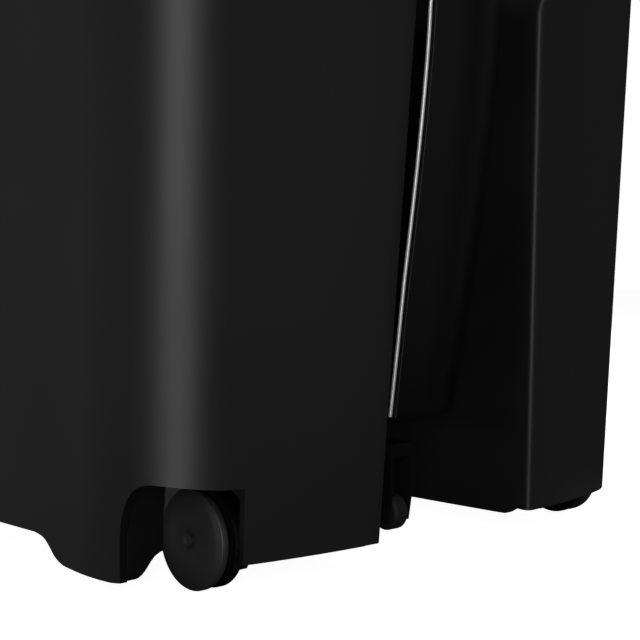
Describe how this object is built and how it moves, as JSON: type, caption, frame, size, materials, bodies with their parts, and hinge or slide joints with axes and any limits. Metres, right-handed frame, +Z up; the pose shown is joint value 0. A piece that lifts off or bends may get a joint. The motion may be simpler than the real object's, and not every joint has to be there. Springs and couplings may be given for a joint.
{
  "type": "tennis ball machine",
  "caption": "Upright wheeled tennis ball machine: a tall black moulded body with a ball hopper on top and a recess with a launching window in front.",
  "frame": {"origin": "on the floor, under the middle of the whole machine", "axes": "+Z up, -Y towards the court where the balls are thrown, +X to the right of someone who looks at the front"},
  "size_m": [0.4208, 0.5703, 0.8162],
  "materials": {
    "black_moulding": "satin, lightly grained",
    "cover_black": "satin gloss",
    "chrome_bead": "bright",
    "dark_plastic": "matte",
    "grey_plastic": "satin",
    "smoke_plastic": "satin",
    "rubber": "matte",
    "wheel_black": "satin",
    "steel": "brushed",
    "chrome_rod": "bright",
    "red_plastic": "gloss"
  },
  "bodies": {
    "body": {"left_shell": "black_moulding", "right_shell": "black_moulding", "base_plate": "dark_plastic", "recess_back": "black_moulding", "front_cover": "cover_black", "left_trim": "chrome_bead", "right_trim": "chrome_bead", "rear_cover": "black_moulding", "top_deck": "black_moulding", "left_foot_web": "black_moulding", "right_foot_web": "black_moulding", "hopper": "black_moulding", "feed_motor": "steel", "ball_tube": "smoke_plastic", "yaw_pedestal": "dark_plastic", "yaw_motor": "steel", "battery": "grey_plastic", "control_box": "dark_plastic", "control_panel": "dark_plastic", "charge_socket": "dark_plastic", "left_handle_sleeve": "steel", "right_handle_sleeve": "steel", "roller_bracket": "wheel_black", "front_left_fork": "wheel_black", "front_right_fork": "wheel_black"},
    "turntable": {"yaw_frame": "steel", "pitch_motor": "steel"},
    "drive_roller": {"yaw_drive_roller": "rubber"},
    "launcher": {"left_launcher_plate": "steel", "right_launcher_plate": "steel", "ball_guide": "smoke_plastic", "upper_throw_motor": "steel", "lower_throw_motor": "steel"},
    "upper_wheel": {"upper_throw_wheel": "rubber"},
    "lower_wheel": {"lower_throw_wheel": "rubber"},
    "feeder": {"feed_disc": "grey_plastic"},
    "handle": {"left_handle_rod": "chrome_rod", "right_handle_rod": "chrome_rod", "handle_grip": "rubber"},
    "handle_release": {"handle_button": "red_plastic"},
    "rocker": {"power_rocker": "red_plastic"},
    "roller": {"support_roller": "wheel_black"},
    "panel_button_1": {"panel_button_1": "grey_plastic"},
    "panel_button_2": {"panel_button_2": "grey_plastic"},
    "panel_button_3": {"panel_button_3": "grey_plastic"},
    "panel_button_4": {"panel_button_4": "grey_plastic"},
    "front_left_wheels": {"front_left_left_wheel": "wheel_black", "front_left_right_wheel": "wheel_black", "front_left_axle": "steel"},
    "rear_left_caster": {"rear_left_fork": "wheel_black"},
    "rear_left_wheels": {"rear_left_left_wheel": "wheel_black", "rear_left_right_wheel": "wheel_black", "rear_left_axle": "steel"},
    "front_right_wheels": {"front_right_left_wheel": "wheel_black", "front_right_right_wheel": "wheel_black", "front_right_axle": "steel"},
    "rear_right_caster": {"rear_right_fork": "wheel_black"},
    "rear_right_wheels": {"rear_right_left_wheel": "wheel_black", "rear_right_right_wheel": "wheel_black", "rear_right_axle": "steel"}
  },
  "joints": [
    {"name": "launcher_yaw", "type": "hinge", "parent": "body", "child": "turntable", "pos_m": [0, 0.02, 0.218], "axis": [0, 0, 1], "range_deg": [-10, 10]},
    {"name": "yaw_roller_spin", "type": "hinge", "parent": "body", "child": "drive_roller", "pos_m": [0, 0.1403, 0.21], "axis": [0, 0, 1], "range_deg": [-55, 55]},
    {"name": "launcher_pitch", "type": "hinge", "parent": "turntable", "child": "launcher", "pos_m": [0, 0.05, 0.42], "axis": [-1, 0, 0], "range_deg": [-5, 15]},
    {"name": "upper_throw_spin", "type": "hinge", "parent": "launcher", "child": "upper_wheel", "pos_m": [0, -0.075, 0.509], "axis": [1, 0, 0], "continuous": true},
    {"name": "lower_throw_spin", "type": "hinge", "parent": "launcher", "child": "lower_wheel", "pos_m": [0, -0.075, 0.331], "axis": [1, 0, 0], "continuous": true},
    {"name": "feed_disc_spin", "type": "hinge", "parent": "body", "child": "feeder", "pos_m": [0, 0.03, 0.6435], "axis": [0, 0, 1], "continuous": true},
    {"name": "handle_slide", "type": "slide", "parent": "body", "child": "handle", "axis": [0, 0, 1], "range_m": [0, 0.35]},
    {"name": "handle_button_press", "type": "slide", "parent": "handle", "child": "handle_release", "axis": [0, 0, -1], "range_m": [0, 0.004], "stiffness_N_per_m": 300},
    {"name": "power_rocker_tilt", "type": "hinge", "parent": "body", "child": "rocker", "pos_m": [-0.038, 0.27736, 0.52], "axis": [1, 0, 0], "range_deg": [0, 16]},
    {"name": "support_roller_spin", "type": "hinge", "parent": "body", "child": "roller", "pos_m": [0, -0.2102, 0.0167], "axis": [1, 0, 0], "continuous": true},
    {"name": "panel_button_1_press", "type": "slide", "parent": "body", "child": "panel_button_1", "axis": [0, -1, 0], "range_m": [0, 0.0014], "stiffness_N_per_m": 400},
    {"name": "panel_button_2_press", "type": "slide", "parent": "body", "child": "panel_button_2", "axis": [0, -1, 0], "range_m": [0, 0.0014], "stiffness_N_per_m": 400},
    {"name": "panel_button_3_press", "type": "slide", "parent": "body", "child": "panel_button_3", "axis": [0, -1, 0], "range_m": [0, 0.0014], "stiffness_N_per_m": 400},
    {"name": "panel_button_4_press", "type": "slide", "parent": "body", "child": "panel_button_4", "axis": [0, -1, 0], "range_m": [0, 0.0014], "stiffness_N_per_m": 400},
    {"name": "front_left_wheel_spin", "type": "hinge", "parent": "body", "child": "front_left_wheels", "pos_m": [-0.1498, -0.2236, 0.0248], "axis": [1, 0, 0], "continuous": true},
    {"name": "rear_left_caster_swivel", "type": "hinge", "parent": "body", "child": "rear_left_caster", "pos_m": [-0.1498, 0.2071, 0.056], "axis": [0, 0, 1], "continuous": true},
    {"name": "rear_left_wheel_spin", "type": "hinge", "parent": "rear_left_caster", "child": "rear_left_wheels", "pos_m": [-0.1498, 0.1931, 0.0248], "axis": [1, 0, 0], "continuous": true},
    {"name": "front_right_wheel_spin", "type": "hinge", "parent": "body", "child": "front_right_wheels", "pos_m": [0.1498, -0.2236, 0.0248], "axis": [1, 0, 0], "continuous": true},
    {"name": "rear_right_caster_swivel", "type": "hinge", "parent": "body", "child": "rear_right_caster", "pos_m": [0.1498, 0.2071, 0.056], "axis": [0, 0, 1], "continuous": true},
    {"name": "rear_right_wheel_spin", "type": "hinge", "parent": "rear_right_caster", "child": "rear_right_wheels", "pos_m": [0.1498, 0.1931, 0.0248], "axis": [1, 0, 0], "continuous": true}
  ],
  "couplings": [
    {"joint": "yaw_roller_spin", "follows": "launcher_yaw", "ratio": -5}
  ]
}
